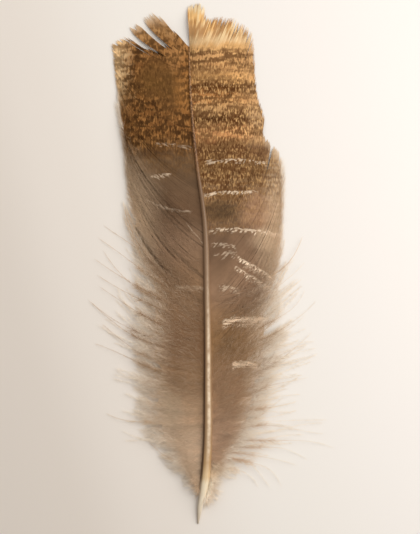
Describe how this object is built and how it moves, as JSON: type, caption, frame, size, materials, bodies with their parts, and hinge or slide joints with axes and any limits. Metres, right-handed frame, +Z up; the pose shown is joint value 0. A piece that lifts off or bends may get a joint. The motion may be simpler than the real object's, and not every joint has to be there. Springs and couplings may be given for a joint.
{
  "type": "turkey wing feather",
  "caption": "Broad brown turkey wing feather lying flat, with a barred, square-tipped vane, torn locks at the tip and loose down round the base of the shaft.",
  "frame": {"origin": "middle of the feather's outline, on the surface that it lies on", "axes": "+Y along the feather towards its square tip, +Z up from the surface, +X to the side of the straight outer edge"},
  "size_m": [0.0866, 0.1796, 0.0047],
  "materials": {
    "vane": "matte barbs in rust, buff and dark brown, crossed by pale ticked bars",
    "down": "soft, open, pale grey-brown fluff",
    "shaft": "smooth horn, cream at the quill and tan above, with a low gloss"
  },
  "bodies": {
    "root": {"feather": "vane"}
  },
  "joints": []
}
